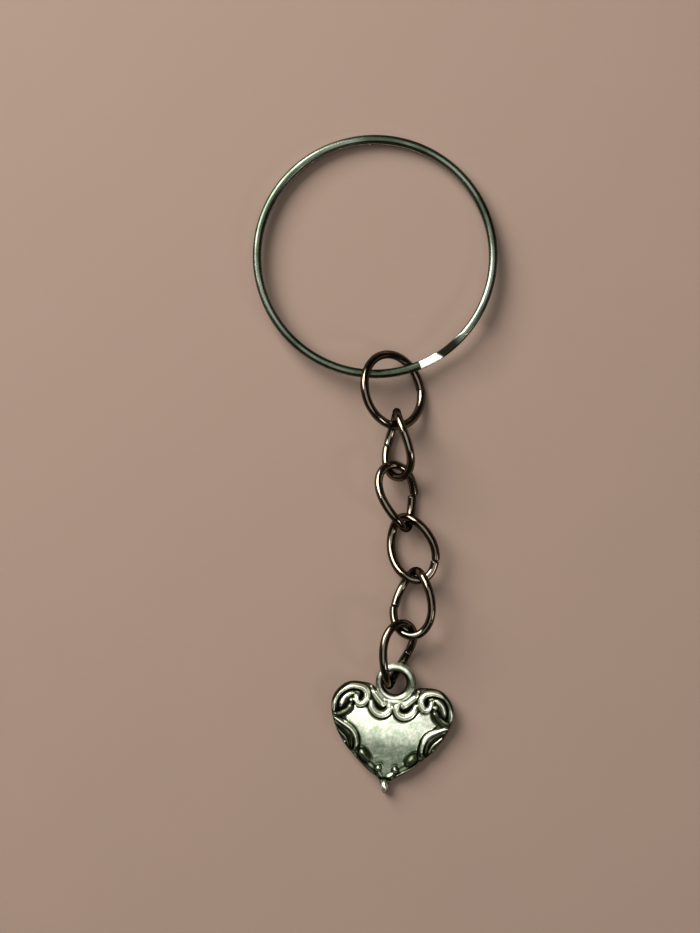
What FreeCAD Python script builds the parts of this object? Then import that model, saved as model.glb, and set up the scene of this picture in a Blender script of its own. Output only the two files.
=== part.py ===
import FreeCAD, Part
import math
import os

import Sketcher

# A split key ring with a jump ring, a five-link twisted chain and a cast heart charm, lying flat.
# Frame: +Z up from the surface that it lies on, +Y from the charm towards the split ring.
# The origin is on that surface, under the middle of the whole object. All lengths are in mm.

SIZES = {
    "ring_outer_radius": 15.0,
    "ring_wire_width": 1.0,
    "coil_height": 0.80,
    "coil_gap": 0.03,
    "coil_corner": 0.12,
    "coil_crown_rise": 0.34,
    "coil_sweep_angle": 333.8,
    "crossover_angle": 15.7,
    "upper_coil_start": -41.7,
    "lower_coil_start": -31.2,
    "jump_radius": 4.45,
    "jump_flare_radius": 4.80,
    "jump_flare_angle": 56.0,
    "jump_seam_angle": -94.0,
    "jump_seam_gap": 0.10,
    "wire_radius": 0.50,
    "link_half_length": 4.0,
    "link_half_width": 2.7,
    "link_twist": -50.0,
    "link_seam_gap": 0.10,
    "bail_radius": 1.94,
    "bail_wire_radius": 0.46,
    "bail_height": 1.60,
    "charm_edge_thickness": 1.20,
    "field_height": 2.30,
    "field_dome_radius": 26.0,
    "ridge_radius": 0.42,
    "ridge_height": 1.45,
    "knob_height": 0.55,
    "saddle_half_width": 1.45,
    "saddle_half_length": 0.62,
    "saddle_height": 0.85,
    "drop_half_width": 0.44,
    "drop_half_length": 0.88,
    "drop_height": 0.48,
}

# How many points a link's middle line goes through, and how quickly its proud end falls back into line.
LINK_STEPS = 60
SEAM_FADE = 8

# How each piece lies: the middle of the piece, then yaw, pitch and roll in degrees, with the piece's
# own long axis along its local X. The wire of each link passes through the next one.
RING_CENTRE_Y = 25.45
RING_LIFT = 0.81
RING_TILT = -3.2
JUMP_RING_PLACE = (2.15, 9.0, 3.45, 100.0, 5.0, 40.0)
CHAIN_PLACES = {
    "chain_link_1": (2.75, 2.35, 3.20, 92.0, 0.0, -64.0),
    "chain_link_2": (2.80, -4.00, 2.80, 106.0, -3.0, 47.0),
    "chain_link_3": (4.50, -10.35, 2.10, 109.0, 6.0, -18.0),
    "chain_link_4": (4.65, -17.00, 3.00, 86.0, 11.0, -38.0),
    "chain_link_5": (2.55, -23.20, 3.10, 79.0, -13.0, 55.0),
}
CHARM_PLACE = (2.50, -26.85, 0.0, -6.0, 0.0, 0.0)

# Where the two cut ends of each link meet, as an angle round the oval from its upper end, and how far
# one end stands out past the other.
SEAMS = {
    "chain_link_1": (92.0, 0.06),
    "chain_link_2": (-97.0, 0.44),
    "chain_link_3": (-126.0, 0.10),
    "chain_link_4": (96.0, 0.12),
    "chain_link_5": (-90.0, 0.05),
}

# The right half of the heart's outline, seen from the front, from the notch that holds the bail round
# to the tip. The middle of the bail is (0, 0).
HEART_HALF = [
    (0.0, -1.95), (1.20, -1.72), (2.05, -1.20), (2.75, -0.68), (3.85, -0.46), (4.80, -0.44),
    (5.85, -0.68), (6.75, -1.40), (7.33, -2.28), (7.55, -3.30), (7.42, -4.40), (6.95, -5.80),
    (6.28, -7.05), (5.36, -8.30), (4.22, -9.40), (3.10, -10.42), (1.85, -11.35), (0.90, -12.02),
    (0.60, -12.45), (0.54, -12.85), (0.34, -13.35),
]
HEART_TIP = (0.0, -13.80)

# Raised scrolls on the right half: the lobe's volute, the curl under the bail with the bar above it,
# the long leaf along the side and the leaf inside the lobe.
SCROLLS = {
    "volute": [
        (7.06, -4.20), (7.10, -2.95), (6.50, -1.72), (5.35, -0.98), (4.15, -0.92), (3.30, -1.48),
        (3.16, -2.25), (3.85, -2.88), (4.66, -2.52),
    ],
    "curl": [(2.45, -3.05), (2.10, -3.90), (1.35, -4.20), (0.62, -3.80), (0.42, -3.00)],
    "bar": [(2.62, -1.35), (1.90, -1.95), (1.20, -2.55)],
    "side_leaf": [(7.05, -4.55), (6.00, -5.20), (4.95, -6.05), (4.25, -7.30), (4.15, -8.60)],
    "lobe_leaf": [(5.35, -1.85), (6.00, -2.45), (6.25, -3.40)],
    "low_rim": [(4.05, -9.15), (3.05, -10.05), (1.90, -10.95)],
}
# Rounded knobs on the right half: middle, then half width and half length.
KNOBS = {"side_knob": (3.05, -8.95, 0.85, 0.68), "low_knob": (1.00, -10.60, 0.62, 0.45)}

# The middle of the saddle that joins the bail to the plate, of the drop at the tip, and of the dome.
SADDLE_MIDDLE = (-0.10, -2.38)
DROP_MIDDLE = (0.0, -12.80)
DOME_MIDDLE = (0.0, -7.0)

# The smooth shield in the middle of the heart, right half, from the top down to the tip.
SHIELD_HALF = [
    (0.0, -3.60), (1.60, -4.30), (3.20, -3.60), (4.90, -3.55), (5.60, -4.60), (4.60, -5.80),
    (3.75, -7.30), (2.90, -9.00), (1.40, -10.40),
]
SHIELD_FOOT = (0.0, -11.60)

doc = FreeCAD.newDocument("key_ring")
sheet = doc.addObject("Spreadsheet::Sheet", "Sizes")
for row, (alias, value) in enumerate(SIZES.items(), start=1):
    sheet.set(f"A{row}", alias)
    sheet.set(f"B{row}", str(value))
    sheet.setAlias(f"B{row}", alias)
doc.recompute()


def size(alias):
    """A driving dimension, read back from the sheet."""
    return float(sheet.get(alias))


def placement(place):
    """The placement for a middle, yaw, pitch and roll."""
    x, y, z, yaw, pitch, roll = place
    return FreeCAD.Placement(FreeCAD.Vector(x, y, z), FreeCAD.Rotation(yaw, pitch, roll))


def new_body(label):
    body = doc.addObject("PartDesign::Body", label)
    body.Label = label
    return body


def new_sketch(body, name, role, turn):
    """A sketch on one of the body's origin planes, turned round Z by the expression turn, in degrees."""
    sketch = body.newObject("Sketcher::SketchObject", name)
    plane = next(f for f in body.Origin.OriginFeatures if f.Role == role)
    upright = FreeCAD.Vector(0, 1, 0) if role == "XZ_Plane" else FreeCAD.Vector(0, 0, 1)
    sketch.AttachmentSupport = (plane, [""])
    sketch.MapMode = "FlatFace"
    sketch.AttachmentOffset = FreeCAD.Placement(FreeCAD.Vector(), FreeCAD.Rotation(upright, 1))
    sketch.setExpression("AttachmentOffset.Rotation.Angle", turn)
    sketch.Visibility = False
    return sketch


def dimension(sketch, name, expression, *constraint):
    """A dimension in a sketch, driven by the sheet."""
    index = sketch.addConstraint(Sketcher.Constraint(*constraint))
    sketch.renameConstraint(index, name)
    sketch.setExpression(f"Constraints.{name}", expression)


def join_ends(sketch, smooth):
    """Joins each pair of curve ends that meet; the pairs listed in smooth are made tangent."""
    ends = [(g, p) for g in range(sketch.GeometryCount) for p in (1, 2)]
    for i, (g1, p1) in enumerate(ends):
        for g2, p2 in ends[i + 1:]:
            if g1 != g2 and (sketch.getPoint(g1, p1) - sketch.getPoint(g2, p2)).Length < 1e-6:
                kind = "Tangent" if {g1, g2} in smooth else "Coincident"
                sketch.addConstraint(Sketcher.Constraint(kind, g1, p1, g2, p2))


def coil_section(body, name, crown, turn):
    """One coil's section: flat where the two coils meet and rounded on the outside.

    crown is +1 for the upper coil, whose rounded side faces up, and -1 for the lower coil.
    """
    outer = size("ring_outer_radius")
    inner = outer - size("ring_wire_width")
    corner = size("coil_corner")
    flat = size("coil_height")
    level = "Sizes.coil_height"
    if crown > 0:
        flat += size("coil_gap")
        level = "Sizes.coil_height + Sizes.coil_gap"
    shoulder = flat + crown * (size("coil_height") - size("coil_crown_rise"))
    crest = flat + crown * size("coil_height")
    near = flat + crown * corner
    bend = corner * (1 - math.sqrt(0.5))

    def corner_arc(wall, side):
        return Part.Arc(
            FreeCAD.Vector(wall + side * corner, flat, 0),
            FreeCAD.Vector(wall + side * bend, flat + crown * bend, 0),
            FreeCAD.Vector(wall, near, 0),
        )

    sketch = new_sketch(body, name, "XZ_Plane", turn)
    sketch.addGeometry(
        [
            Part.LineSegment(
                FreeCAD.Vector(inner + corner, flat, 0), FreeCAD.Vector(outer - corner, flat, 0)
            ),
            corner_arc(outer, -1),
            Part.LineSegment(FreeCAD.Vector(outer, near, 0), FreeCAD.Vector(outer, shoulder, 0)),
            Part.Arc(
                FreeCAD.Vector(outer, shoulder, 0),
                FreeCAD.Vector((inner + outer) / 2, crest, 0),
                FreeCAD.Vector(inner, shoulder, 0),
            ),
            Part.LineSegment(FreeCAD.Vector(inner, shoulder, 0), FreeCAD.Vector(inner, near, 0)),
            corner_arc(inner, 1),
        ],
        False,
    )
    join_ends(sketch, [{0, 1}, {1, 2}, {4, 5}, {5, 0}])
    sketch.addConstraint(
        [
            Sketcher.Constraint("Horizontal", 0),
            Sketcher.Constraint("Vertical", 2),
            Sketcher.Constraint("Vertical", 4),
            Sketcher.Constraint("Equal", 1, 5),
            Sketcher.Constraint("Horizontal", 2, 2, 4, 1),
        ]
    )
    rise = "Sizes.coil_crown_rise"
    crown_radius = f"(Sizes.ring_wire_width^2 / 4 + {rise}^2) / (2 * {rise})"
    dimension(sketch, "outer", "Sizes.ring_outer_radius", "DistanceX", -1, 1, 2, 1, outer)
    dimension(sketch, "width", "Sizes.ring_wire_width", "DistanceX", 4, 2, 2, 1, outer - inner)
    dimension(sketch, "level", level, "DistanceY", -1, 1, 0, 1, flat)
    dimension(sketch, "corner", "Sizes.coil_corner", "Radius", 1, corner)
    wall = (2, 1, 2, 2) if crown > 0 else (2, 2, 2, 1)
    straight = f"Sizes.coil_height - {rise} - Sizes.coil_corner"
    dimension(sketch, "wall", straight, "DistanceY", *wall, abs(shoulder - near))
    crown_now = size("ring_wire_width") ** 2 / 4 + size("coil_crown_rise") ** 2
    dimension(sketch, "crown", crown_radius, "Radius", 3, crown_now / (2 * size("coil_crown_rise")))
    return sketch


def add_coil(body, name, section):
    feature = body.newObject("PartDesign::Revolution", name)
    feature.Profile = section
    feature.ReferenceAxis = (section, ["V_Axis"])
    feature.setExpression("Angle", "Sizes.coil_sweep_angle")


def make_split_key_ring():
    """One wire in two stacked turns: the lower coil, the sloped crossover and the upper coil."""
    body = new_body("split_key_ring")
    add_coil(body, "LowerCoil", coil_section(body, "LowerSection", -1, "Sizes.lower_coil_start"))
    add_coil(body, "UpperCoil", coil_section(body, "UpperSection", 1, "Sizes.upper_coil_start"))
    doc.recompute()
    slope = body.newObject("PartDesign::AdditiveHelix", "Crossover")
    slope.Profile = coil_section(
        body, "SlopeSection", -1, "Sizes.upper_coil_start - Sizes.crossover_angle"
    )
    slope.ReferenceAxis = (slope.Profile[0], ["V_Axis"])
    slope.Mode = "height-turns-angle"
    slope.setExpression("Height", "Sizes.coil_height + Sizes.coil_gap")
    slope.setExpression("Turns", "Sizes.crossover_angle / 360")
    body.Placement = FreeCAD.Placement(
        FreeCAD.Vector(0, RING_CENTRE_Y, RING_LIFT), FreeCAD.Rotation(0, 0, RING_TILT)
    )
    return body


def make_jump_ring():
    """An open ring of round wire. Its last stretch flares out, so one cut end stands a little proud."""
    body = new_body("jump_ring")
    turn = "Sizes.jump_seam_angle"
    radius = size("jump_radius")
    wide = size("jump_flare_radius")
    flare = math.radians(size("jump_flare_angle"))
    gap = size("jump_seam_gap") / radius
    bend = 2 * math.pi - gap - flare
    outward = FreeCAD.Vector(math.cos(bend), math.sin(bend), 0)
    normal = FreeCAD.Vector(0, 0, 1)
    route = new_sketch(body, "Route", "XY_Plane", turn)
    route.addGeometry(
        [
            Part.ArcOfCircle(Part.Circle(FreeCAD.Vector(), normal, radius), 0, bend),
            Part.ArcOfCircle(
                Part.Circle(outward * (radius - wide), normal, wide), bend, bend + flare
            ),
        ],
        False,
    )
    join_ends(route, [{0, 1}])
    route.addConstraint(Sketcher.Constraint("Coincident", 0, 3, -1, 1))
    route.addConstraint(Sketcher.Constraint("PointOnObject", 0, 1, -1))
    dimension(route, "radius", "Sizes.jump_radius", "Radius", 0, radius)
    dimension(route, "wide", "Sizes.jump_flare_radius", "Radius", 1, wide)
    flare_now = math.degrees(flare)
    dimension(route, "flare", "Sizes.jump_flare_angle * 1 deg", "Angle", 1, math.radians(flare_now))
    span = "360 deg - Sizes.jump_flare_angle * 1 deg - Sizes.jump_seam_gap / Sizes.jump_radius * 1 rad"
    dimension(route, "span", span, "Angle", 0, bend)
    section = new_sketch(body, "Section", "XZ_Plane", turn)
    wire = Part.Circle(FreeCAD.Vector(radius, 0, 0), normal, size("wire_radius"))
    section.addGeometry(wire, False)
    section.addConstraint(Sketcher.Constraint("PointOnObject", 0, 3, -1))
    dimension(section, "place", "Sizes.jump_radius", "DistanceX", -1, 1, 0, 3, radius)
    dimension(section, "wire", "Sizes.wire_radius", "Radius", 0, size("wire_radius"))
    pipe = body.newObject("PartDesign::AdditivePipe", "BentWire")
    pipe.Profile = section
    pipe.Spine = (route, ["Edge1", "Edge2"])
    body.Placement = placement(JUMP_RING_PLACE)
    return body


def link_point(turn, spread):
    """A point on the middle line of a link, turn degrees round from its upper end.

    The link is an oval twisted about its long axis, so its two ends are rolled opposite ways.
    """
    along = math.cos(math.radians(turn))
    across = (size("link_half_width") + spread) * math.sin(math.radians(turn))
    roll = math.radians(size("link_twist") / 2 * along)
    return FreeCAD.Vector(
        size("link_half_length") * along, across * math.cos(roll), across * math.sin(roll)
    )


def make_chain_link(label, place, seam, spread):
    """One oval of round wire, cut at the seam; the wire's first end stands out by spread."""
    gap = math.degrees(size("link_seam_gap") / size("link_half_length"))
    points = []
    for step in range(LINK_STEPS + 1):
        done = step / LINK_STEPS
        turn = seam + gap / 2 + done * (360 - gap)
        points.append(link_point(turn, spread * (1 - done) ** SEAM_FADE))
    curve = Part.BSplineCurve()
    curve.interpolate(points)
    route = doc.addObject("Part::Feature", label + "_route")
    route.Shape = curve.toShape()
    section = doc.addObject("Part::Circle", label + "_section")
    section.setExpression("Radius", "Sizes.wire_radius")
    start = curve.tangent(curve.FirstParameter)[0]
    section.Placement = FreeCAD.Placement(
        points[0], FreeCAD.Rotation(FreeCAD.Vector(0, 0, 1), start)
    )
    link = doc.addObject("Part::Sweep", label)
    link.Label = label
    link.Sections = [section]
    link.Spine = (route, ["Edge1"])
    link.Solid = True
    link.Placement = placement(place)
    return link


def smooth_curve(points, height):
    """A smooth curve through points of the charm's front, at one height."""
    curve = Part.BSplineCurve()
    curve.interpolate([FreeCAD.Vector(x, y, height) for x, y in points])
    return curve


def mirrored(points):
    """The same points on the left half, in reverse order."""
    return [(-x, y) for x, y in reversed(points)]


def charm_plate(name, half, foot, height):
    """A flat plate with a smooth symmetric edge that comes to a point at its foot."""
    right = half + [foot]
    edges = [smooth_curve(side, 0).toShape() for side in (right, mirrored(right))]
    outline = doc.addObject("Part::Feature", name + "_outline")
    outline.Shape = Part.Wire(Part.__sortEdges__(edges))
    plate = doc.addObject("Part::Extrusion", name)
    plate.Base = outline
    plate.DirMode = "Custom"
    plate.Dir = FreeCAD.Vector(0, 0, 1)
    plate.Solid = True
    plate.setExpression("LengthFwd", height)
    return plate


def ball(name, point, height, radius):
    """A ball bound to the sheet: height and radius are expressions."""
    piece = doc.addObject("Part::Sphere", name)
    piece.setExpression("Radius", radius)
    piece.Placement.Base = FreeCAD.Vector(*point, 0)
    piece.setExpression("Placement.Base.z", height)
    return piece


def egg(name, point, half_width, half_length, height):
    """A rounded bump that stands on the plate's front: its three sizes are expressions."""
    piece = doc.addObject("Part::Ellipsoid", name)
    piece.setExpression("Radius1", height)
    piece.setExpression("Radius2", half_width)
    piece.setExpression("Radius3", half_length)
    piece.Placement.Base = FreeCAD.Vector(*point, 0)
    piece.setExpression("Placement.Base.z", "Sizes.charm_edge_thickness")
    return piece


def charm_ridge(name, points):
    """A rounded ridge along a curve, with round ends."""
    curve = smooth_curve(points, size("ridge_height"))
    route = doc.addObject("Part::Feature", name + "_route")
    route.Shape = curve.toShape()
    section = doc.addObject("Part::Circle", name + "_section")
    section.setExpression("Radius", "Sizes.ridge_radius")
    start = curve.tangent(curve.FirstParameter)[0]
    section.Placement = FreeCAD.Placement(
        curve.StartPoint, FreeCAD.Rotation(FreeCAD.Vector(0, 0, 1), start)
    )
    ridge = doc.addObject("Part::Sweep", name)
    ridge.Sections = [section]
    ridge.Spine = (route, ["Edge1"])
    ridge.Solid = True
    ends = [
        ball(f"{name}_end_{i}", point, "Sizes.ridge_height", "Sizes.ridge_radius")
        for i, point in enumerate((points[0], points[-1]), start=1)
    ]
    return [ridge] + ends


def make_heart_charm():
    """A heart cast in one piece: bail, plate, domed shield, scrolls, knobs and a pointed drop."""
    plate = charm_plate("plate", HEART_HALF, HEART_TIP, "Sizes.charm_edge_thickness")
    shield = charm_plate("shield", SHIELD_HALF, SHIELD_FOOT, "Sizes.field_height")
    dome_level = "Sizes.field_height - Sizes.field_dome_radius"
    dome = ball("dome", DOME_MIDDLE, dome_level, "Sizes.field_dome_radius")
    field = doc.addObject("Part::Common", "field")
    field.Base = shield
    field.Tool = dome
    relief = []
    for name, points in SCROLLS.items():
        relief += charm_ridge(name, points)
    for name, (x, y, half_width, half_length) in KNOBS.items():
        knob_size = (f"{half_width} mm", f"{half_length} mm", "Sizes.knob_height")
        relief.append(egg(name, (x, y), *knob_size))
    half = doc.addObject("Part::MultiFuse", "relief_right")
    half.Shapes = relief
    other = doc.addObject("Part::Mirroring", "relief_left")
    other.Source = half
    other.Normal = FreeCAD.Vector(1, 0, 0)
    bail = doc.addObject("Part::Torus", "bail")
    bail.setExpression("Radius1", "Sizes.bail_radius")
    bail.setExpression("Radius2", "Sizes.bail_wire_radius")
    bail.setExpression("Placement.Base.z", "Sizes.bail_height")
    saddle_size = ("Sizes.saddle_half_width", "Sizes.saddle_half_length", "Sizes.saddle_height")
    saddle = egg("saddle", SADDLE_MIDDLE, *saddle_size)
    drop_size = ("Sizes.drop_half_width", "Sizes.drop_half_length", "Sizes.drop_height")
    drop = egg("drop", DROP_MIDDLE, *drop_size)
    charm = doc.addObject("Part::MultiFuse", "heart_charm")
    charm.Label = "heart_charm"
    charm.Shapes = [plate, field, half, other, bail, saddle, drop]
    charm.Placement = placement(CHARM_PLACE)
    return charm


pieces = [make_split_key_ring(), make_jump_ring()]
for label, place in CHAIN_PLACES.items():
    pieces.append(make_chain_link(label, place, *SEAMS[label]))
pieces.append(make_heart_charm())
doc.recompute()

for item in doc.Objects:
    if "Invalid" in item.State or "Error" in item.State:
        raise RuntimeError(f"{item.Label} failed to build: {item.State}")
for piece in pieces:
    if piece.Shape.isNull() or not piece.Shape.isValid() or len(piece.Shape.Solids) != 1:
        raise RuntimeError(f"{piece.Label} isn't one valid solid")

os.makedirs("parts", exist_ok=True)
for piece in pieces:
    piece.Shape.exportStep(f"parts/{piece.Label}.step")
    print(piece.Label, round(piece.Shape.Volume, 1), "mm3")
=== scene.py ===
import math

import bpy
import numpy as np
from mathutils import Matrix, Vector


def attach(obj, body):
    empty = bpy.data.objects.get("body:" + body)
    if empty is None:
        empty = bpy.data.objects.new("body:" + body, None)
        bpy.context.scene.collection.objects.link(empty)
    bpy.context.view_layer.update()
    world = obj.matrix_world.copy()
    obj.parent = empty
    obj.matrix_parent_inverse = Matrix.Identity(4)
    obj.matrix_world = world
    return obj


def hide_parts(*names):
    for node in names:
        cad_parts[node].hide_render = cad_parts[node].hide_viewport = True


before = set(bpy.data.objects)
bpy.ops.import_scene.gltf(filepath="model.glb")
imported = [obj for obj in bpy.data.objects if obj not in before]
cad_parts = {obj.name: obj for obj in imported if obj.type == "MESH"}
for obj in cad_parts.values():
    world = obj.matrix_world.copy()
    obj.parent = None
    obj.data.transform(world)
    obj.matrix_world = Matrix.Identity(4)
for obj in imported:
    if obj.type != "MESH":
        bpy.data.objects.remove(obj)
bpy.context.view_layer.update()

# A split key ring, a jump ring, five twisted chain links and a cast heart charm.
# Sizes are in millimetres until build_mesh turns them into metres.
MM = 0.001

# The round wire of the jump ring and the links, and the gap between its two cut ends.
WIRE_RADIUS = 0.50
SEAM_GAP = 0.10
# The split ring: its middle radius, its wire's width and height, and the climb from coil to coil.
RING_RADIUS = 14.5
RING_WIDTH = 1.0
COIL_HEIGHT = 0.80
COIL_STEP = 0.83
# A link's middle line, and its twist from end to end in degrees.
LINK_HALF_LENGTH = 4.0
LINK_HALF_WIDTH = 2.7
LINK_TWIST = -50.0
# How quickly a link's wire comes back from the cut end that stands out.
LINK_SPREAD_POWER = 8
# The jump ring's middle radius, the radius and angle of its last stretch, and where its seam is.
JUMP_RADIUS = 4.45
JUMP_FLARE_RADIUS = 4.80
JUMP_FLARE_ANGLE = 56.0
JUMP_SEAM_ANGLE = -94.0
# The charm's hanging loop: the radii of its middle line and its wire, and its height over the back.
BAIL_RADIUS = 1.94
BAIL_WIRE_RADIUS = 0.49
BAIL_HEIGHT = 1.60
# How much wider the bail's wire is where it is widest, and at which angle that is.
BAIL_SWELL = 0.10
BAIL_SWELL_ANGLE = 25.0

# How each piece lies: its middle, then yaw, pitch and roll in degrees.
RING_PLACE = (0.0, 25.45, 0.81, 0.0, 0.0, -3.2)
JUMP_RING_PLACE = (2.15, 9.0, 3.45, 100.0, 5.0, 40.0)
CHARM_PLACE = (2.50, -26.85, 0.0, -6.0, 0.0, 0.0)
# Each link's place, the angle of its seam, and how far one cut end stands out past the other.
LINKS = {
    "chain_link_1": ((2.75, 2.35, 3.20, 92.0, 0.0, -64.0), 92.0, 0.06),
    "chain_link_2": ((2.80, -4.00, 2.80, 106.0, -3.0, 47.0), -97.0, 0.44),
    "chain_link_3": ((4.50, -10.35, 2.10, 109.0, 6.0, -18.0), -126.0, 0.10),
    "chain_link_4": ((4.65, -17.00, 3.00, 86.0, 11.0, -38.0), 96.0, 0.12),
    "chain_link_5": ((2.55, -23.20, 3.10, 79.0, -13.0, 55.0), -90.0, 0.05),
}


def place_matrix(place):
    x, y, z, yaw, pitch, roll = place
    turn = Matrix.Rotation(math.radians(yaw), 4, "Z")
    turn = turn @ Matrix.Rotation(math.radians(pitch), 4, "Y")
    turn = turn @ Matrix.Rotation(math.radians(roll), 4, "X")
    return Matrix.Translation((x, y, z)) @ turn


def add_object(name, data):
    thing = bpy.data.objects.new(name, data)
    bpy.context.scene.collection.objects.link(thing)
    return thing


def build_mesh(name, points, faces, place, attributes, sharp_angle=38.0):
    """A closed mesh from points in a piece's own frame, put where the piece lies."""
    matrix = np.array(place_matrix(place))
    points = np.asarray(points) @ matrix[:3, :3].T + matrix[:3, 3]
    mesh = bpy.data.meshes.new(name)
    mesh.from_pydata((points * MM).tolist(), [], faces)
    for key, values in attributes.items():
        kind = "FLOAT_VECTOR" if values.ndim == 2 else "FLOAT"
        layer = mesh.attributes.new(key, kind, "POINT")
        field = "vector" if values.ndim == 2 else "value"
        layer.data.foreach_set(field, values.astype(np.float32).ravel())
    mesh.update()
    mesh.shade_smooth()
    mesh.set_sharp_from_angle(angle=math.radians(sharp_angle))
    return add_object(name, mesh)


# --------------------------------------------------------------------------- swept wires

# Distances from a cut end, and how much of the section's size is there: a small worn bevel.
END_STEPS = ((0.0, 0.80), (0.018, 0.90), (0.05, 0.97), (0.10, 1.0))
# How far from a cut end the even steps along the wire start.
END_CLEAR = 0.2
# A direction that no wire starts along, and a short way along a path.
ASIDE = (0.3, 0.2, 1.0)
NUDGE = 1e-4


def path_steps(length, count):
    """Places from 0 to 1 along a path, closer at both cut ends, and the section's size at each."""
    clear = END_CLEAR / length
    near = [(d / length, size) for d, size in END_STEPS]
    middle = [(s, 1.0) for s in np.linspace(clear, 1 - clear, count)]
    far = [(1 - s, size) for s, size in reversed(near)]
    steps = near + middle + far
    return np.array([s for s, _ in steps]), np.array([size for _, size in steps])


def tube(rings, lengths):
    """Faces and the grain attribute of a tube whose rings of points follow its length."""
    count, around = rings.shape[:2]
    index = np.arange(count * around).reshape(count, around)
    a = index[:-1]
    b = index[1:]
    quads = np.stack([a, np.roll(a, -1, 1), np.roll(b, -1, 1), b], -1).reshape(-1, 4)
    faces = quads.tolist()
    faces.append(index[0][::-1].tolist())
    faces.append(index[-1].tolist())
    turn = np.linspace(0, 2 * math.pi, around, endpoint=False)
    grain = np.zeros((count, around, 3))
    grain[..., 0] = lengths[:, None]
    grain[..., 1] = np.cos(turn)[None]
    grain[..., 2] = np.sin(turn)[None]
    return rings.reshape(-1, 3), faces, grain.reshape(-1, 3)


def round_wire(name, path, place, count=260, around=40):
    """Round wire along path(s), s from 0 to 1, cut square at both ends with a small bevel."""
    even = path(np.linspace(0, 1, 400))
    length = np.linalg.norm(np.diff(even, axis=0), axis=1).sum()
    steps, sizes = path_steps(length, count)
    tangents = path(np.clip(steps + NUDGE, 0, 1)) - path(np.clip(steps - NUDGE, 0, 1))
    tangents /= np.linalg.norm(tangents, axis=1)[:, None]
    side = np.cross(tangents[0], ASIDE)
    turn = np.linspace(0, 2 * math.pi, around, endpoint=False)
    rings = np.zeros((len(steps), around, 3))
    for i, (centre, tangent, scale) in enumerate(zip(path(steps), tangents, sizes)):
        side = side - tangent * side.dot(tangent)
        side /= np.linalg.norm(side)
        up = np.cross(tangent, side)
        circle = np.cos(turn)[:, None] * side + np.sin(turn)[:, None] * up
        rings[i] = centre + WIRE_RADIUS * scale * circle
    points, faces, grain = tube(rings, steps * length)
    return build_mesh(name, points, faces, place, {"grain": grain})


def link_path(seam, spread):
    """The middle line of an oval link, twisted about its long axis, from cut end to cut end."""
    gap = math.degrees(SEAM_GAP / LINK_HALF_LENGTH)

    def path(s):
        turn = np.radians(seam + gap / 2 + s * (360 - gap))
        along = np.cos(turn)
        across = (LINK_HALF_WIDTH + spread * (1 - s) ** LINK_SPREAD_POWER) * np.sin(turn)
        roll = math.radians(LINK_TWIST / 2) * along
        x = LINK_HALF_LENGTH * along
        return np.stack([x, across * np.cos(roll), across * np.sin(roll)], -1)

    return path


def jump_path():
    """An open circle whose last stretch flares out, so that one cut end stands proud."""
    flare = math.radians(JUMP_FLARE_ANGLE)
    bend = 2 * math.pi - SEAM_GAP / JUMP_RADIUS - flare
    start = math.radians(JUMP_SEAM_ANGLE)

    def path(s):
        turn = s * (bend + flare)
        flared = turn > bend
        radius = np.where(flared, JUMP_FLARE_RADIUS, JUMP_RADIUS)
        shift = np.where(flared, JUMP_RADIUS - JUMP_FLARE_RADIUS, 0.0)
        x = shift * math.cos(start + bend) + radius * np.cos(start + turn)
        y = shift * math.sin(start + bend) + radius * np.sin(start + turn)
        return np.stack([x, y, np.zeros_like(x)], -1)

    return path


# --------------------------------------------------------------------------- the split ring

# Angles along the wire in degrees: its start below, the slope from coil to coil, and its end above.
LOWER_START = -31.2
SLOPE_START = 302.6
SLOPE_END = 318.3
UPPER_END = 652.1
# Where the section starts to change over from round below to round above.
ROUND_START = 311.5
# How many degrees the slope lags from the wire's middle to its outer edge, and how many each of its
# creases is rounded over.
SLANT = 1.15
CREASE = 0.5
# How much of the slope the painted highlight on the lower coil's flat top takes to give way to the
# slope's painted shade at the foot.
SLOPE_FOOT = 0.06
# How boxy the flat side and the round side of the section are, as powers of a superellipse.
FLAT_POWER = 7.0
ROUND_POWER = 2.0
# Where the section is widest, as a part of its height: in the lower coil, and how much more above.
WIDEST = 0.47
WIDEST_RISE = 0.06
RING_STEPS = 900
RING_AROUND = 48


def smooth_step(low, high, value):
    t = np.clip((value - low) / (high - low), 0, 1)
    return t * t * (3 - 2 * t)


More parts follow.
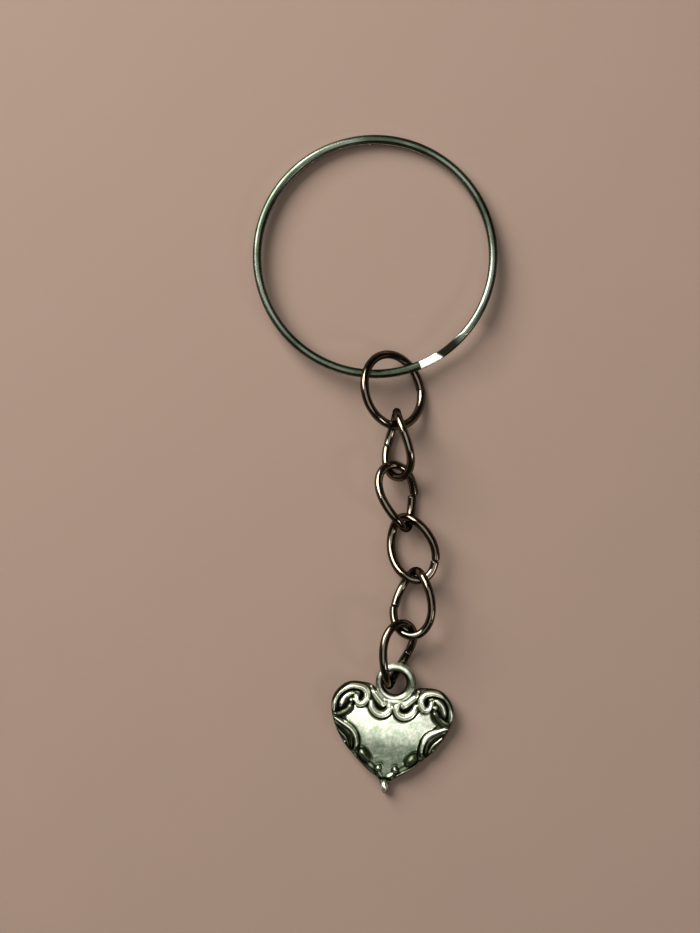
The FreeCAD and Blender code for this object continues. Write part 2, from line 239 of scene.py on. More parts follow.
def split_ring(name):
    """Two stacked turns of one wire with their flats together and a slope from one to the other."""
    span = UPPER_END - LOWER_START
    length = math.radians(span) * RING_RADIUS
    steps, sizes = path_steps(length, RING_STEPS)
    scale = sizes[:, None]
    angles = (LOWER_START + steps * span)[:, None]
    upper = smooth_step(ROUND_START, SLOPE_END, angles)

    turn = np.linspace(0, 2 * math.pi, RING_AROUND, endpoint=False)
    across = np.cos(turn)
    above = np.sin(turn)
    high = (above >= 0)[None]
    top_power = 2 / (FLAT_POWER + (ROUND_POWER - FLAT_POWER) * upper)
    low_power = 2 / (ROUND_POWER + (FLAT_POWER - ROUND_POWER) * upper)
    power = np.where(high, top_power, low_power)
    widest = COIL_HEIGHT * (WIDEST + WIDEST_RISE * upper)
    reach = np.where(high, COIL_HEIGHT - widest, widest)
    outward = np.sign(across) * np.abs(across) ** power * RING_WIDTH / 2
    level = widest + np.sign(above) * np.abs(above) ** power * reach * scale

    sloping = SLOPE_END - SLOPE_START
    ramp = (angles - SLANT * outward / (RING_WIDTH / 2) - SLOPE_START) / sloping
    ramp = np.clip(ramp, 0, 1)
    soft = CREASE / sloping
    eased = np.where(ramp < soft, ramp ** 2 / (2 * soft), ramp - soft / 2)
    eased = np.where(ramp > 1 - soft, 1 - soft - (1 - ramp) ** 2 / (2 * soft), eased)
    eased /= 1 - soft

    radius = RING_RADIUS + outward * scale
    theta = np.radians(angles)
    rings = [radius * np.cos(theta), radius * np.sin(theta), level + COIL_STEP * eased]
    points, faces, grain = tube(np.stack(rings, -1), steps * length)
    faces = [face[::-1] for face in faces]
    # Painted shade: the slope from coil to coil is made near black from its foot on.
    shaded_slope = smooth_step(0.0, SLOPE_FOOT, ramp) * (1 - upper) * high
    # Painted highlight: the lower coil's flat top, which shows only where the upper coil ends, is
    # made near white.
    flat_highlight_part = (1 - upper) * high - shaded_slope
    tones = {"grain": grain, "painted_flat_highlight": flat_highlight_part.ravel(), "painted_slope_shade": shaded_slope.ravel()}
    return build_mesh(name, points, faces, RING_PLACE, tones, sharp_angle=50.0)


# --------------------------------------------------------------------------- the charm

# The cell of the front's grid, and how many of its cells stand clear round the heart.
GRID = 0.046
GRID_MARGIN = 3
# The rounded edge: the wall's top, how far inwards it is rounded, and the highest level it allows.
WALL_TOP = 0.62
RIM_REACH = 0.34
RIM_TOP = 2.45
# Where the edge's rounding starts and is complete, as distances from the bail's middle.
ROUNDED_FROM = (2.45, 2.80)
# The wall and the back's bevel: each ring's height, its inset, and how much painted shade it has.
WALL_RINGS = ((0.36, 0.0, 0.30), (0.16, 0.0, 0.26), (0.05, 0.04, 0.12), (0.0, 0.12, 0.04))

# Into how many points the outlines and the cuts' middle lines are smoothed.
OUTLINE_STEPS = 420
SHIELD_STEPS = 90
CUT_STEPS = 40
LEG_STEPS = 8

# The heart's right half, from the notch to the tip. The bail's middle is at 0, 0.
HEART_HALF = [
    (0.0, -1.95), (1.20, -1.72), (2.05, -1.20), (2.75, -0.68), (3.85, -0.46), (4.80, -0.44),
    (5.85, -0.68), (6.75, -1.40), (7.33, -2.28), (7.55, -3.30), (7.42, -4.40), (6.95, -5.80),
    (6.28, -7.05), (5.36, -8.30), (4.22, -9.40), (3.10, -10.42), (1.85, -11.35), (0.90, -12.02),
    (0.60, -12.45), (0.54, -12.85), (0.34, -13.35), (0.0, -13.80),
]
# The smooth field's right half, and between which distances from it the field rises.
SHIELD_EDGE = (-0.10, 0.16)
SHIELD_HALF = [
    (0.0, -3.40), (1.60, -4.10), (3.20, -3.40), (4.70, -3.20), (5.70, -4.40), (4.75, -5.95),
    (3.95, -7.30), (3.20, -9.00), (1.40, -10.60), (0.0, -11.60),
]
# The field's dome: its top, where that is along the heart, the divisors of its fall across and
# along, and from which distance along, and how steeply, it falls evenly.
DOME_TOP = 2.16
DOME_MIDDLE = -5.4
DOME_ACROSS = 56.0
DOME_ALONG = 28.0
DOME_BEND = 2.3
DOME_FALL = 0.18
# The ground round the field, the trench round each shape and its width, and the lowest level there.
GROUND = 1.25
TRENCH = 1.45
TRENCH_WIDTH = 0.22
LOWEST = 0.85
# How the two halves stray from a true mirror image: each wave's size, rate and phase.
STRAY_ACROSS = ((0.05, 0.9, 0.5), (0.03, 2.1, 1.0))
STRAY_ALONG = ((0.04, 0.8, 0.7),)

# Each ridge rises from RIDGE_FOOT. Its crest falls by RIDGE_FALL over RIDGE_ENDS of its length.
RIDGE_FOOT = 0.95
RIDGE_FULLNESS = 0.7
RIDGE_FALL = 0.18
RIDGE_ENDS = (0.12, 0.10)
RIDGE_STEPS = 56
# Raised ridges on the right half: the middle line, the half width at its start, middle and end, and
# the height of its crest.
RIDGES = {
    "rim": (
        [(7.20, -4.20), (7.20, -3.10), (6.90, -2.18), (6.26, -1.42), (5.42, -0.96), (4.60, -0.90),
         (3.76, -1.14), (3.30, -1.84), (3.48, -2.66), (4.06, -3.04), (4.56, -2.74), (4.66, -2.16)],
        (0.24, 0.43, 0.38), 2.14),
    "lobe_leaf": (
        [(5.02, -1.74), (5.45, -1.86), (5.92, -2.24), (6.26, -2.80), (6.40, -3.45)],
        (0.20, 0.40, 0.24), 2.02),
    "lobe_foot": (
        [(5.10, -3.05), (5.38, -3.75), (5.98, -4.28), (6.70, -4.52), (7.25, -4.45)],
        (0.32, 0.48, 0.24), 1.98),
    "side_leaf": (
        [(7.40, -4.72), (6.60, -5.12), (5.50, -5.72), (4.62, -6.35), (4.14, -7.25), (4.02, -8.20),
         (4.14, -8.72)],
        (0.16, 0.46, 0.18), 2.04),
    "side_flute": (
        [(7.10, -5.32), (6.20, -5.78), (5.25, -6.42), (4.76, -7.20), (4.58, -8.10), (4.60, -8.72)],
        (0.12, 0.30, 0.12), 1.80),
    "edge_leaf": (
        [(6.70, -6.00), (6.02, -6.72), (5.42, -7.32), (5.02, -8.10), (4.86, -8.60)],
        (0.12, 0.28, 0.14), 1.70),
    "low_rim": (
        [(4.20, -9.12), (3.60, -9.82), (2.75, -10.52), (1.82, -11.12), (1.15, -11.55)],
        (0.12, 0.27, 0.12), 1.66),
    "tip_leaf": ([(0.98, -11.02), (0.62, -11.45), (0.22, -11.72)], (0.16, 0.24, 0.14), 1.58),
    "curl": (
        [(2.74, -2.65), (2.52, -3.45), (1.88, -4.02), (1.22, -4.10), (0.64, -3.74), (0.38, -3.10),
         (0.52, -2.50)],
        (0.32, 0.50, 0.34), 2.14),
    "bar": ([(2.72, -1.30), (2.06, -1.96), (1.24, -2.74)], (0.30, 0.50, 0.44), 2.18),
}
# Rounded bumps on the right half: middle, half width, half length, turn in degrees, crest height.
BUMPS = {
    "lobe_bead": (5.16, -2.70, 0.36, 0.36, 0.0, 1.95),
    "edge_bead": (5.36, -7.86, 0.34, 0.42, 35.0, 1.66),
    "side_knob": (2.90, -9.26, 0.60, 1.06, -40.0, 2.34),
    "low_knob": (1.04, -10.64, 0.44, 0.54, 20.0, 2.02),
    "top_bead": (2.90, -0.82, 0.24, 0.24, 0.0, 1.80),
}
# Narrow cuts on the right half: the middle line, half width and depth.
CUTS = {
    "lobe_cut": (
        [(3.98, -2.45), (3.92, -1.92), (4.30, -1.48), (5.30, -1.38), (6.10, -1.76), (6.62, -2.50),
         (6.80, -3.30), (6.72, -3.85)],
        0.13, 0.55),
    "eye_cut": ([(4.10, -2.40), (4.06, -1.86)], 0.16, 0.50),
    "curl_cut": ([(0.98, -3.30), (1.62, -3.34), (2.22, -2.86)], 0.12, 0.45),
    "neck_cut": ([(0.0, -11.88), (0.62, -11.96)], 0.13, 0.50),
    "shell_cut": ([(5.45, -2.95), (5.95, -3.45), (6.55, -3.95)], 0.10, 0.35),
}
# How much lower than the bail its trace in the front is, so that the bail stays on top.
BAIL_CLEAR = 0.03
# Swellings on the middle line: middle, half width, half length, top and how full they are.
SADDLE = (-2.22, 1.62, 0.74, 2.08, 0.14)
DROP = (-12.85, 0.60, 1.00, 1.92, 0.33)
# The two short legs below the saddle: the right one's middle line, half width, top and fullness.
LEG = ([(0.62, -2.30), (0.56, -2.98)], 0.36, 2.06, 0.3)

# The casting's grain: the size and the blur of each random layer. Blurs are in grid cells.
CAST_SEED = 11
CAST_GRAIN = ((0.0040, 2.5), (0.0060, 7.0))
CAST_BLUR = 0.85
# How hollow a place is: the weight and the blur of each comparison with the places round it.
HOLLOWS = ((0.8, 5.0), (0.9, 2.0))
# The extra patina at low levels, and the levels between which it fades out.
DEEP_PATINA = (0.16, 1.05, 1.45)
# The painted shade along the heart's edge, and the distances from it between which it fades out.
EDGE_SHADE = (0.30, 0.08, 0.34)
# Soft bands: where each starts to rise, is full, starts to fall and is over, as distances below the
# bail's middle, or, for the last, from the middle line. The drop is spared a part of the edge's
# painted shade, the lower field gets painted shade, and the side leaves' lower ends get extra
# painted shade.
DROP_SPARED = 0.9
DROP_BAND = (12.35, 12.6, 12.95, 13.3)
LOW_SHADE_BAND = (5.3, 8.8, 12.1, 12.5)
BACK_DULLED = 0.5
LEAF_END_SHADE = 0.26
LEAF_END_BAND = (6.2, 7.4, 8.6, 9.0)
LEAF_END_SIDE_BAND = (3.45, 3.75, 4.8, 5.1)
# Shapes given painted shade: how much, and between which places along them. It
# fades over SHADE_SOFT to each side of both places. A bump has it all over.
SHADE_SOFT = 0.07
WHOLE = (-1.0, 2.0)
SHADED_SHAPES = {
    "rim": (0.43, 0.13, 0.40),
    "lobe_foot": (0.39, *WHOLE),
    "side_flute": (0.30, *WHOLE),
    "edge_leaf": (0.36, *WHOLE),
    "low_rim": (0.32, *WHOLE),
    "side_knob": (0.36, *WHOLE),
    "low_knob": (0.32, *WHOLE),
}


def smooth_line(points, count):
    """A natural cubic through the points, at count evenly spread parameters."""
    points = np.asarray(points, float)
    knots = np.concatenate([[0], np.cumsum(np.linalg.norm(np.diff(points, axis=0), axis=1))])
    n = len(points)
    if n == 2:
        return points[0] + np.linspace(0, 1, count)[:, None] * (points[1] - points[0])
    gaps = np.diff(knots)
    system = np.eye(n)
    right = np.zeros((n, 2))
    for i in range(1, n - 1):
        system[i, i - 1:i + 2] = gaps[i - 1], 2 * (gaps[i - 1] + gaps[i]), gaps[i]
        slope_out = (points[i + 1] - points[i]) / gaps[i]
        slope_in = (points[i] - points[i - 1]) / gaps[i - 1]
        right[i] = 6 * (slope_out - slope_in)
    bend = np.linalg.solve(system, right)
    s = np.linspace(0, knots[-1], count)
    i = np.clip(np.searchsorted(knots, s, "right") - 1, 0, n - 2)
    left = (knots[i + 1] - s)[:, None]
    done = (s - knots[i])[:, None]
    gap = gaps[i][:, None]
    return (
        bend[i] * left ** 3 / (6 * gap)
        + bend[i + 1] * done ** 3 / (6 * gap)
        + (points[i] / gap - bend[i] * gap / 6) * left
        + (points[i + 1] / gap - bend[i + 1] * gap / 6) * done
    )


def distance_to(line, x, y):
    """Each point's distance to a line of short segments, and its place along it from 0 to 1."""
    best = np.full(x.shape, 1e9)
    place = np.zeros(x.shape)
    last = len(line) - 1
    for i in range(last):
        start = line[i]
        run = line[i + 1] - start
        t = ((x - start[0]) * run[0] + (y - start[1]) * run[1]) / run.dot(run)
        t = np.clip(t, 0, 1)
        d = np.hypot(x - start[0] - t * run[0], y - start[1] - t * run[1])
        closer = d < best
        best = np.where(closer, d, best)
        place = np.where(closer, (i + t) / last, place)
    return best, place


def inside(line, x, y):
    """Whether each point is inside a closed outline."""
    result = np.zeros(x.shape, bool)
    for (x1, y1), (x2, y2) in zip(line, np.roll(line, -1, 0)):
        if y1 != y2:
            crosses = ((y1 > y) != (y2 > y)) & (x < (x2 - x1) * (y - y1) / (y2 - y1) + x1)
            result ^= crosses
    return result


def soften(height, radius):
    """A Gaussian blur; radius is in grid cells."""
    reach = int(3 * radius) + 1
    weights = np.exp(-0.5 * (np.arange(-reach, reach + 1) / radius) ** 2)
    weights /= weights.sum()
    for axis in (0, 1):
        padded = np.pad(height, [(reach, reach) if k == axis else (0, 0) for k in (0, 1)], "edge")
        height = sum(
            w * np.take(padded, np.arange(i, i + height.shape[axis]), axis)
            for i, w in enumerate(weights)
        )
    return height


def mirrored(half):
    """The closed outline made of a right half and its mirror image."""
    return np.concatenate([half, (half * (-1, 1))[::-1][1:-1]])


def waves(terms, value):
    return sum(size * np.sin(rate * value + phase) for size, rate, phase in terms)


def band(value, rise_start, rise_end, fall_start, fall_end):
    """1 between rise_end and fall_start, 0 outside, and soft in between."""
    rise = smooth_step(rise_start, rise_end, value)
    return rise * (1 - smooth_step(fall_start, fall_end, value))


def width_along(widths, place):
    """A ridge's half width along it, from its half widths at the start, middle and end."""
    start, middle, end = widths
    stops = (0, 0.12, 0.5, 0.85, 1)
    values = (start, (start + middle) / 2 + 0.03, middle, (middle + end) / 2 + 0.04, end)
    return np.interp(place, stops, values)


def bump_distance(bump, x, y):
    """The distance from a bump's middle, scaled so that its edge is at its half width."""
    px, py, half_width, half_length, turn, _ = bump
    c = math.cos(math.radians(turn))
    s = math.sin(math.radians(turn))
    u = ((x - px) * c + (y - py) * s) / half_width
    v = (-(x - px) * s + (y - py) * c) / half_length
    return np.hypot(u, v) * half_width


def swelling(across, along, top, fullness):
    """A rounded top; across and along are distances from its middle, in its half sizes."""
    return top * np.clip(1 - across ** 2 - along ** 2, 0, 1) ** fullness


def field(x, y):
    """The smooth domed field and the ground round it."""
    half = smooth_line(SHIELD_HALF, SHIELD_STEPS)
    edge, _ = distance_to(half, x, y)
    signed = np.where(inside(mirrored(half), x, y), edge, -edge)
    away = np.abs(y - DOME_MIDDLE)
    bent = np.minimum(away, DOME_BEND)
    dome = DOME_TOP - x ** 2 / DOME_ACROSS - bent ** 2 / DOME_ALONG - DOME_FALL * (away - bent)
    return GROUND + (dome - GROUND) * smooth_step(*SHIELD_EDGE, signed)


def raised_shapes(x, y):
    """For each ridge and bump: the distance from its middle, its half width, its crest's height."""
    shapes = []
    for line, widths, crest in RIDGES.values():
        d, place = distance_to(smooth_line(line, RIDGE_STEPS), x, y)
        full = smooth_step(0.0, RIDGE_ENDS[0], place) * smooth_step(0.0, RIDGE_ENDS[1], 1 - place)
        shapes.append((d, width_along(widths, place), crest - RIDGE_FALL * (1 - full)))
    for bump in BUMPS.values():
        _, _, half_width, _, _, crest = bump
        shapes.append((bump_distance(bump, x, y), half_width, crest))
    return shapes


def relief(x, y):
    """The height of the charm's front before its edge is rounded."""
    ax = np.abs(x + waves(STRAY_ACROSS, y))
    y = y + waves(STRAY_ALONG, x)
    height = field(ax, y)
    shapes = raised_shapes(ax, y)
    for d, w, _ in shapes:
        trench = 1 - smooth_step(0.0, TRENCH_WIDTH, d - w)
        height = np.minimum(height, height * (1 - trench) + TRENCH * trench)
    height = np.maximum(height, LOWEST)
    for d, w, crest in shapes:
        profile = np.sqrt(np.clip(1 - (d / w) ** 2, 0, 1))
        ridge = RIDGE_FOOT + (crest - RIDGE_FOOT) * profile ** RIDGE_FULLNESS
        height = np.where(d < w, np.maximum(height, ridge), height)
    for line, half_width, depth in CUTS.values():
        d, _ = distance_to(smooth_line(line, CUT_STEPS), ax, y)
        height = height - depth * np.exp(-(d / half_width) ** 2)
    off = np.abs(np.hypot(x, y) - BAIL_RADIUS)
    trace = np.sqrt(np.clip(BAIL_WIRE_RADIUS ** 2 - off ** 2, 0, 1)) + (BAIL_HEIGHT - BAIL_CLEAR)
    height = np.where(off < BAIL_WIRE_RADIUS, np.maximum(height, trace), height)
    for middle, half_width, half_length, top, fullness in (SADDLE, DROP):
        oval = swelling(ax / half_width, (y - middle) / half_length, top, fullness)
        height = np.maximum(height, oval)
    line, half_width, top, fullness = LEG
    leg, _ = distance_to(smooth_line(line, LEG_STEPS), ax, y)
    return np.maximum(height, swelling(leg / half_width, 0, top, fullness))


def front_surface(loop):
    """The front's height on a grid over the outline, and how much patina its hollows hold."""
    low = loop.min(0) - GRID_MARGIN * GRID
    high = loop.max(0) + GRID_MARGIN * GRID
    xs = np.arange(low[0], high[0], GRID)
    ys = np.arange(low[1], high[1], GRID)
    x, y = np.meshgrid(xs, ys, indexing="ij")
    height = relief(x, y)
    rng = np.random.default_rng(CAST_SEED)
    grain = sum(
        size * soften(rng.standard_normal(x.shape), blur) * blur for size, blur in CAST_GRAIN
    )
    height = soften(height, CAST_BLUR) + grain
    shade = sum(weight * (soften(height, blur) - height) for weight, blur in HOLLOWS)
    deep, dark_level, clean_level = DEEP_PATINA
    shade += deep * (1 - smooth_step(dark_level, clean_level, height))
    return x, y, height, shade


def front_quads(keep):
    """Which grid corners the kept cells use, and the cells' quads between those corners."""
    columns, rows = keep.shape
    used = np.zeros((columns + 1, rows + 1), bool)
    for dx, dy in ((0, 0), (1, 0), (1, 1), (0, 1)):
        used[dx:dx + columns, dy:dy + rows] |= keep
    index = -np.ones(used.shape, int)
    index[used] = np.arange(used.sum())
    corners = [index[:-1, :-1], index[1:, :-1], index[1:, 1:], index[:-1, 1:]]
    return used, np.stack([c[keep] for c in corners], -1)


def border_of(quads):
    """The corners round a patch of quads, in order."""
    edges = {}
    for k in range(4):
        for a, b in zip(quads[:, k].tolist(), quads[:, (k + 1) % 4].tolist()):
            edges[(a, b)] = True
    follow = {a: b for a, b in edges if (b, a) not in edges}
    border = [next(iter(follow))]
    while follow[border[-1]] != border[0]:
        border.append(follow[border[-1]])
    return np.array(border)


def nearest_on(line, x, y):
    """The nearest place on a line of short segments to each point."""
    nearest = np.full(len(x), 1e9)
    places = np.zeros((len(x), 2))
    for start, stop in zip(line[:-1], line[1:]):
        run = stop - start
        t = np.clip(((x - start[0]) * run[0] + (y - start[1]) * run[1]) / run.dot(run), 0, 1)
        spot = start + t[:, None] * run
        d = np.hypot(x - spot[:, 0], y - spot[:, 1])
        closer = d < nearest
        nearest[closer] = d[closer]
        places[closer] = spot[closer]
    return places


def painted_front_shade(points, to_edge, away_from_bail):
    """The front's painted shade: along its edge, on some shapes and at the side leaves' ends."""
    side = np.abs(points[:, 0])
    low = -points[:, 1]
    amount, full_to, clear_from = EDGE_SHADE
    spared = DROP_SPARED * band(low, *DROP_BAND)
    near_edge = 1 - smooth_step(full_to, clear_from, to_edge)
    total = amount * near_edge * away_from_bail * (1 - spared)
    # Painted shade on chosen ridges and knobs.
    for key, (shade_amount, start, end) in SHADED_SHAPES.items():
        if key in BUMPS:
            on_shape = bump_distance(BUMPS[key], side, -low) < BUMPS[key][2]
        else:
            line, widths, _ = RIDGES[key]
            d, place = distance_to(smooth_line(line, RIDGE_STEPS), side, -low)
            on_shape = (d < widths[1]) * band(
                place, start - SHADE_SOFT, start + SHADE_SOFT, end - SHADE_SOFT, end + SHADE_SOFT
            )
        total = total + shade_amount * on_shape
    # Painted shade at the side leaves' lower ends.
    leaf_ends = band(side, *LEAF_END_SIDE_BAND) * band(low, *LEAF_END_BAND)
    return total + LEAF_END_SHADE * leaf_ends


def wall_and_back(border, outline, total):
    """The wall's rings below the front's border, and the faces of the wall and the flat back."""
    ahead = np.roll(outline, -2, 0) - np.roll(outline, 2, 0)
    outward = np.stack([ahead[:, 1], -ahead[:, 0]], -1)
    outward /= np.maximum(np.linalg.norm(outward, axis=1), 1e-9)[:, None]
    rings = []
    faces = []
    above = border
    for level, inset, _ in WALL_RINGS:
        rings.append(np.column_stack([outline - outward * inset, np.full(len(outline), level)]))
        ring = np.arange(total, total + len(outline))
        total += len(outline)
        faces += np.stack([np.roll(above, -1), above, ring, np.roll(ring, -1)], -1).tolist()
        above = ring
    faces.append(above[::-1].tolist())
    return rings, faces


def charm_body(name):
    """The heart as one closed casting: a relief front, a rounded wall and a flat back."""
    loop = mirrored(smooth_line(HEART_HALF, OUTLINE_STEPS))
    closed = np.concatenate([loop, loop[:1]])
    x, y, height, shade = front_surface(loop)
    keep = inside(loop, x[:-1, :-1] + GRID / 2, y[:-1, :-1] + GRID / 2)
    used, quads = front_quads(keep)
    border = border_of(quads)
    points = np.stack([x[used], y[used], height[used]], -1)
    outline = nearest_on(closed, points[border, 0], points[border, 1])
    points[border, :2] = outline

    to_edge, _ = distance_to(closed, points[:, 0], points[:, 1])
    to_edge[border] = 0.0
    away_from_bail = smooth_step(*ROUNDED_FROM, np.hypot(points[:, 0], points[:, 1]))
    bulge = np.sqrt(np.clip(1 - (1 - np.clip(to_edge / RIM_REACH, 0, 1)) ** 2, 0, 1))
    bulge = 1 - (1 - bulge) * away_from_bail
    points[:, 2] = np.minimum(points[:, 2], WALL_TOP + (RIM_TOP - WALL_TOP) * bulge)
    # The front's patina, with painted shade added along the edge, on some shapes and at the leaves'
    # ends.
    shade = shade[used] + painted_front_shade(points, to_edge, away_from_bail)

    rings, wall_faces = wall_and_back(border, outline, len(points))
    points = np.concatenate([points, *rings])
    # The wall's rings carry on the painted shade along the edge.
    ring_shades = [shade_amount for _, _, shade_amount in WALL_RINGS]
    shade = np.concatenate([shade, np.repeat(ring_shades, len(border))])
    # Painted shade over the lower field down to the drop; the flat back is made partly dull all
    # over.
    shade_and_dull_back = band(-points[:, 1], *LOW_SHADE_BAND)
    # The last ring carries the flat back.
    shade_and_dull_back[-len(border):] = BACK_DULLED
    tones = {"patina_and_shade": shade, "shade_and_dull_back": shade_and_dull_back}
    faces = quads.tolist() + wall_faces
    body = build_mesh(name, points, faces, CHARM_PLACE, tones, sharp_angle=75.0)
    body.data.polygons[-1].use_smooth = False
    return body


def charm_bail(name):
    """The charm's hanging loop, cast on the heart, with painted shade inside, below and at its
    sides.
    """
    count, around = 128, 40
    turn = np.linspace(0, 2 * math.pi, count, endpoint=False)[:, None]
    roll = np.linspace(0, 2 * math.pi, around, endpoint=False)[None]
    swell = np.clip(np.cos(turn - math.radians(BAIL_SWELL_ANGLE)), 0, 1)
    reach = BAIL_RADIUS + (BAIL_WIRE_RADIUS + BAIL_SWELL * swell) * np.cos(roll)
    level = np.broadcast_to(BAIL_HEIGHT + BAIL_WIRE_RADIUS * np.sin(roll), (count, around))
    points = np.stack([reach * np.cos(turn), reach * np.sin(turn), level], -1).reshape(-1, 3)
    index = np.arange(count * around).reshape(count, around)
    ahead = np.roll(index, -1, 0)
    quads = np.stack([index, ahead, np.roll(ahead, -1, 1), np.roll(index, -1, 1)], -1)
    # Painted shade: inside the loop, on its underside and at its left and right.
    inside_shade = 0.30 * np.clip(-np.cos(roll) - 0.1, 0, 1)
    underside_shade = 0.15 * np.clip(-np.sin(roll), 0, 1)
    shade = inside_shade + underside_shade + 0.23 * np.cos(turn) ** 2
    faces = quads.reshape(-1, 4).tolist()
    return build_mesh(name, points, faces, CHARM_PLACE, {"patina_and_shade": shade.ravel()})


# --------------------------------------------------------------------------- materials

# Scales are per metre, and the distances of bumps are in metres.
# Near white for the split ring's painted highlight.
HIGHLIGHT_WHITE = (0.90, 0.90, 0.86, 1)
# Near black for the split ring's painted shade on its slope.
SLOPE_SHADE_BLACK = (0.012, 0.011, 0.008, 1)
BRIGHT_SILVER = (0.94, 0.95, 0.82, 1)
TARNISH = (0.50, 0.63, 0.47, 1)
# Painted shade on the lower field, also the dull back's colour.
SHADED_DULL_SILVER = (0.25, 0.34, 0.23, 1)
# Dark patina in hollows, also the colour of the painted shade.
PATINA_AND_SHADE_DARK = (0.040, 0.046, 0.026, 1)
FLOOR_TONES = ((0.199, 0.138, 0.110, 1), (0.218, 0.152, 0.122, 1))
# The tint of the metals' reflections at grazing angles.
WIRE_EDGE = (0.11, 0.10, 0.08)
SILVER_EDGE = (0.35, 0.38, 0.30)


class Nodes:
    """A short way to write a material's nodes."""

    def __init__(self, name):
        self.material = bpy.data.materials.new(name)
        self.material.use_nodes = True
        self.tree = self.material.node_tree
        self.shader = self.tree.nodes["Principled BSDF"]

    def add(self, kind, inputs=None, **settings):
        node = self.tree.nodes.new(kind)
        for key, value in settings.items():
            setattr(node, key, value)
        for key, value in (inputs or {}).items():
            if isinstance(value, bpy.types.NodeSocket):
                self.tree.links.new(value, node.inputs[key])
            else:
                node.inputs[key].default_value = value
        return node

    def noise(self, where, scale, detail=3.0, roughness=0.6):
        inputs = {"Vector": where, "Scale": scale, "Detail": detail, "Roughness": roughness}
        return self.add("ShaderNodeTexNoise", inputs).outputs["Fac"]

    def stretch(self, where, scale, turn=0.0):
        inputs = {"Vector": where, "Scale": scale, "Rotation": (0, 0, math.radians(turn))}
        return self.add("ShaderNodeMapping", inputs).outputs[0]

    def span(self, value, low, high, to_low, to_high):
        inputs = {"Value": value, "From Min": low, "From Max": high}
        inputs.update({"To Min": to_low, "To Max": to_high})
        return self.add("ShaderNodeMapRange", inputs).outputs[0]

    def maths(self, operation, a, b):
        return self.add("ShaderNodeMath", {0: a, 1: b}, operation=operation).outputs[0]

    def attribute(self, name, output="Fac"):
        return self.add("ShaderNodeAttribute", attribute_name=name).outputs[output]

    def object_place(self):
        return self.add("ShaderNodeTexCoord").outputs["Object"]

    def plus_part(self, value, part, share):
        return self.maths("ADD", value, self.maths("MULTIPLY", part, share))

    def mix(self, factor, a, b):
        node = self.add("ShaderNodeMix", data_type="RGBA")
        for socket, value in (("Factor_Float", factor), ("A_Color", a), ("B_Color", b)):
            target = next(s for s in node.inputs if s.identifier == socket)
            if isinstance(value, bpy.types.NodeSocket):
                self.tree.links.new(value, target)
            else:
                target.default_value = value
        return next(s for s in node.outputs if s.identifier == "Result_Color")

    def bump(self, height, strength, distance, below=None):
        inputs = {"Height": height, "Strength": strength, "Distance": distance}
        if below is not None:
            inputs["Normal"] = below
        return self.add("ShaderNodeBump", inputs).outputs[0]

    def finish(self, colour, roughness, normal, edge=(1.0, 1.0, 1.0)):
        self.tree.links.new(colour, self.shader.inputs["Base Color"])
        self.tree.links.new(roughness, self.shader.inputs["Roughness"])
        self.tree.links.new(normal, self.shader.inputs["Normal"])
        self.shader.inputs["Metallic"].default_value = 1.0
        self.shader.inputs["Specular Tint"].default_value = (*edge, 1)
        return self.material


def plated_wire(name, colour, tint, smooth, worn):
    """Nickel plate on drawn wire: lines along the wire, small nicks and patches of dulled plate,
    and on the split ring a painted highlight on its bare flat and painted shade on its slope.
    """
    n = Nodes(name)
    spot = n.object_place()
    lines = n.noise(n.stretch(n.attribute("grain", "Vector"), (0.35, 14.0, 14.0)), 1.0, 4.0)
    dull = n.noise(spot, 420.0, 4.0)
    nicks = n.noise(n.stretch(spot, (900.0, 5200.0, 900.0), 32.0), 1.0, 2.0)
    nicks = n.span(nicks, 0.66, 0.74, 0.0, 1.0)
    patch = n.span(n.plus_part(n.noise(spot, 75.0, 2.0), dull, 0.35), 0.56, 0.78, 0.0, 1.0)
    base = n.mix(patch, (*colour, 1), (*tint, 1))
    # The split ring's painted highlight on its bare flat.
    painted_flat_highlight = n.maths("MULTIPLY", n.attribute("painted_flat_highlight"), n.span(dull, 0.3, 0.7, 1.0, 0.8))
    base = n.mix(painted_flat_highlight, base, HIGHLIGHT_WHITE)
    # The split ring's painted shade on its slope.
    painted_slope_shade = n.maths("MULTIPLY", n.attribute("painted_slope_shade"), n.span(dull, 0.3, 0.7, 1.0, 0.94))
    base = n.mix(painted_slope_shade, base, SLOPE_SHADE_BLACK)
    rough = n.span(dull, 0.35, 0.75, smooth, worn)
    rough = n.plus_part(rough, nicks, 0.12)
    rough = n.plus_part(rough, lines, 0.05)
    normal = n.bump(lines, 0.20, 0.00002)
    normal = n.bump(nicks, 0.25, 0.00002, normal)
    normal = n.bump(n.noise(spot, 900.0, 2.0), 0.10, 0.00004, normal)
    return n.finish(base, rough, normal, WIRE_EDGE)


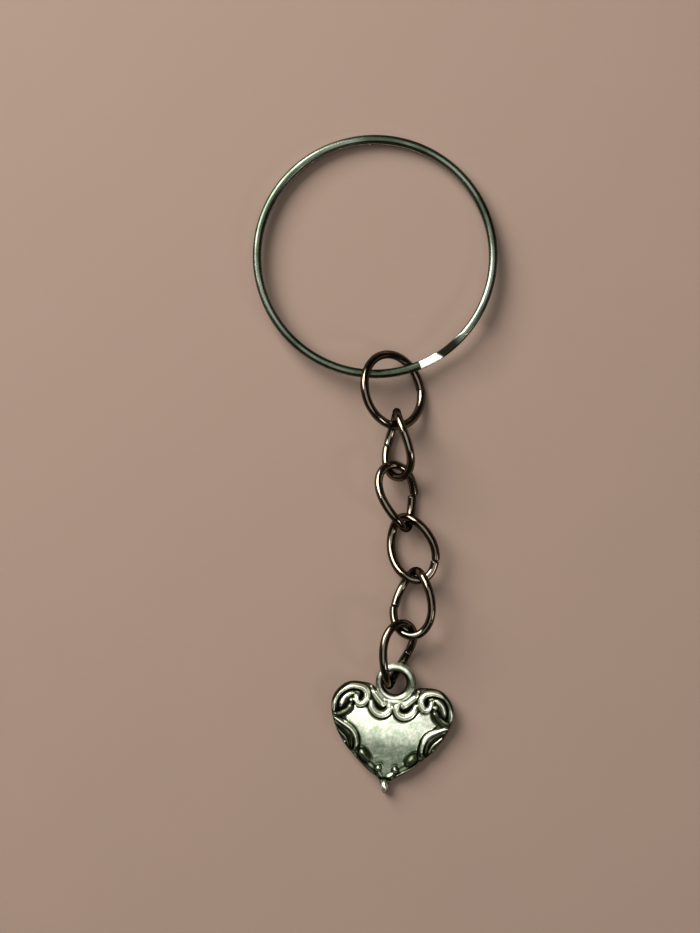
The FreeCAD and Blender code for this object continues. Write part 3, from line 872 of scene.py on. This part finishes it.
def antique_silver(name):
    """A tumbled casting: pale worn tops, dark patina in hollows, painted shade along the edge, on
    some raised shapes and on the lower field, mottled tarnish and fine scratches.
    """
    n = Nodes(name)
    patina_and_shade_level = n.attribute("patina_and_shade")
    spot = n.object_place()
    speckle = n.noise(spot, 2600.0, 4.0, 0.7)
    mottle = n.noise(spot, 1250.0, 6.0, 0.72)
    ragged = n.maths("ADD", patina_and_shade_level, n.span(speckle, 0.3, 0.7, -0.035, 0.035))
    # Patina in the hollows together with the painted shade, both made dark.
    patina_and_shade_mix = n.span(ragged, 0.055, 0.26, 0.0, 1.0)
    worn = n.span(patina_and_shade_level, -0.18, -0.06, 0.15, 1.0)
    tarnish = n.maths("MULTIPLY", worn, n.span(mottle, 0.44, 0.64, 0.0, 0.9))
    # Painted shade on the lower field, and the dull back.
    shade_and_dull_back = n.maths("MULTIPLY", n.attribute("shade_and_dull_back"), n.span(mottle, 0.30, 0.60, 0.30, 1.0))
    silver = n.mix(tarnish, BRIGHT_SILVER, TARNISH)
    silver = n.mix(shade_and_dull_back, silver, SHADED_DULL_SILVER)
    base = n.mix(patina_and_shade_mix, silver, PATINA_AND_SHADE_DARK)
    scratches = n.noise(n.stretch(spot, (700.0, 9000.0, 700.0), 28.0), 1.0, 2.0)
    crossing = n.noise(n.stretch(spot, (8200.0, 620.0, 620.0), 14.0), 1.0, 2.0)
    scratches = n.span(n.maths("MAXIMUM", scratches, crossing), 0.64, 0.74, 0.0, 1.0)
    rough = n.span(mottle, 0.35, 0.70, 0.27, 0.40)
    rough = n.plus_part(rough, patina_and_shade_mix, 0.06)
    rough = n.plus_part(rough, scratches, 0.10)
    normal = n.bump(speckle, 0.22, 0.00003)
    normal = n.bump(mottle, 0.30, 0.00008, normal)
    normal = n.bump(scratches, 0.20, 0.00002, normal)
    return n.finish(base, rough, normal, SILVER_EDGE)


def floor_material():
    n = Nodes("pale_floor")
    spot = n.object_place()
    tone = n.noise(spot, 60.0, 3.0)
    rough = n.span(tone, 0.3, 0.7, 0.80, 0.90)
    normal = n.bump(n.noise(spot, 2400.0), 0.15, 0.0001)
    material = n.finish(n.mix(tone, *FLOOR_TONES), rough, normal)
    n.shader.inputs["Metallic"].default_value = 0.0
    return material


# --------------------------------------------------------------------------- the pieces

def dress(piece, body, material):
    """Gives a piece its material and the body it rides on."""
    piece.data.materials.append(material)
    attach(piece, body)


RING_TONES = ((0.185, 0.21, 0.17), (0.055, 0.07, 0.048))
CHAIN_TONES = ((0.215, 0.185, 0.145), (0.12, 0.100, 0.076))
ring_metal = plated_wire("ring_nickel", *RING_TONES, smooth=0.20, worn=0.30)
chain_metal = plated_wire("chain_nickel", *CHAIN_TONES, smooth=0.07, worn=0.14)
charm_metal = antique_silver("charm_antique_silver")

ring = split_ring("split_key_ring_wire")
dress(ring, "split_ring", ring_metal)
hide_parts("split_key_ring")

jump = round_wire("jump_ring_wire", jump_path(), JUMP_RING_PLACE)
dress(jump, "jump_ring", chain_metal)
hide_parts("jump_ring")

for node, (place, seam, spread) in LINKS.items():
    link = round_wire(node + "_wire", link_path(seam, spread), place, count=220)
    dress(link, node.replace("chain_", ""), chain_metal)
    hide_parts(node)

charm = charm_body("heart_charm_casting")
dress(charm, "charm", charm_metal)
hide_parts("heart_charm")
bail = charm_bail("heart_charm_bail")
dress(bail, "charm", charm_metal)
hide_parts("heart_charm")

# --------------------------------------------------------------------------- the stage

# From here on places are in metres.
FLOOR_HALF = 0.6
floor_mesh = bpy.data.meshes.new("floor")
signs = ((-1, -1), (1, -1), (1, 1), (-1, 1))
corners = [(sx * FLOOR_HALF, sy * FLOOR_HALF, 0.0) for sx, sy in signs]
floor_mesh.from_pydata(corners, [], [(0, 1, 2, 3)])
floor_mesh.materials.append(floor_material())
floor = add_object("floor", floor_mesh)

# Rectangular soft lights: place, the point each faces, width, depth, watts and colour.
LIGHTS = {
    "key": ((-0.30, 0.32, 0.36), (0, 0, 0), 0.38, 0.38, 7.6, (1.0, 0.97, 0.91)),
    "overhead": ((0.02, -0.02, 0.50), (0.02, -0.03, 0), 0.42, 0.50, 0.92, (1.0, 1.0, 0.94)),
    "fill": ((0.34, -0.22, 0.30), (0, 0, 0), 0.10, 0.10, 0.35, (1.0, 0.95, 0.88)),
}
ROOM_COLOUR = (0.026, 0.028, 0.022, 1)

for name, (place, target, width, depth, power, colour) in LIGHTS.items():
    light = bpy.data.lights.new(name, "AREA")
    light.shape = "RECTANGLE"
    light.size = width
    light.size_y = depth
    light.energy = power
    light.color = colour
    lamp = add_object(name, light)
    lamp.location = place
    lamp.rotation_euler = (Vector(target) - Vector(place)).to_track_quat("-Z", "Y").to_euler()

world = bpy.data.worlds.new("room")
bpy.context.scene.world = world
world.use_nodes = True
world.node_tree.nodes["Background"].inputs["Color"].default_value = ROOM_COLOUR
bpy.context.scene.view_settings.view_transform = "Standard"

# --------------------------------------------------------------------------- the camera

# The photograph looks straight down.
CAMERA_PLACE = (-0.00308, -0.00031, 0.220)
SENSOR_HEIGHT = 36.0
LENS = 68.59
CLIP_START = 0.005
camera_data = bpy.data.cameras.new("camera")
camera_data.sensor_fit = "VERTICAL"
camera_data.sensor_height = SENSOR_HEIGHT
camera_data.lens = LENS
camera_data.clip_start = CLIP_START
camera = add_object("camera", camera_data)
camera.location = CAMERA_PLACE
bpy.context.scene.camera = camera

bpy.context.view_layer.update()
